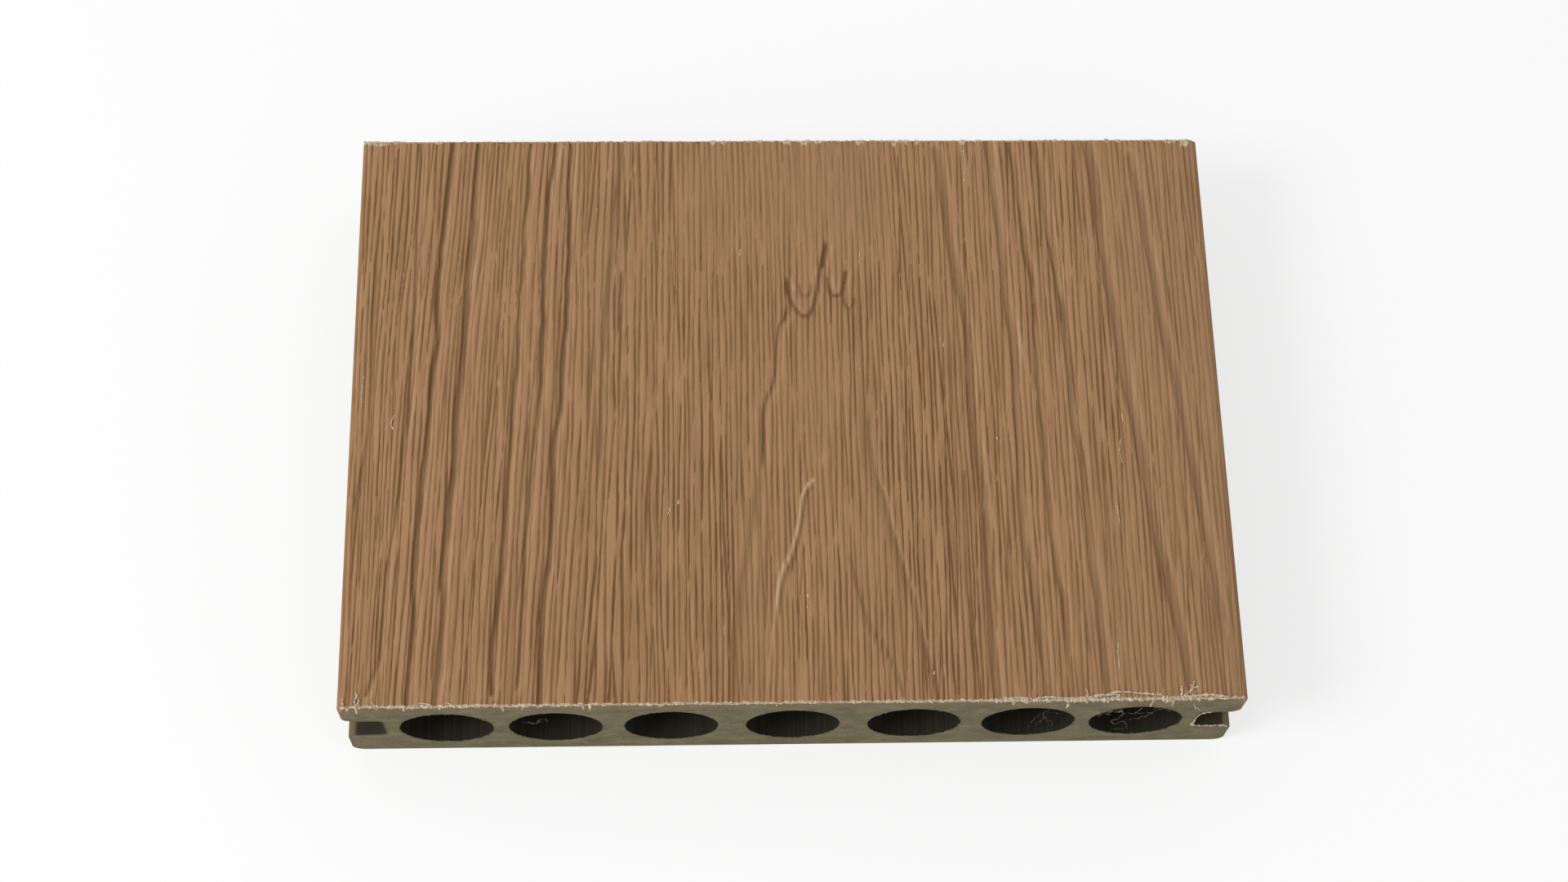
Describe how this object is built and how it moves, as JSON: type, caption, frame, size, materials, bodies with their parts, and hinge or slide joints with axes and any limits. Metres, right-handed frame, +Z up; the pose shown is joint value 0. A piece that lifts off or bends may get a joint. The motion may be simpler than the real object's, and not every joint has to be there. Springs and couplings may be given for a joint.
{
  "type": "composite deck board",
  "caption": "Hollow capped wood-plastic deck board sample with a grained top face, round chambers running through it and a clip groove along each side.",
  "frame": {"origin": "middle of the underside", "axes": "+Y along the board, the way it was extruded and the way its grain runs, with -Y out of the sawn end that the picture shows; +X across the board; +Z up, out of the grained face"},
  "size_m": [0.138, 0.097, 0.0225],
  "materials": {
    "wood_plastic_core": "matte",
    "grained_cap": "matte"
  },
  "bodies": {
    "root": {"core": "wood_plastic_core", "cap": "grained_cap"}
  },
  "joints": []
}
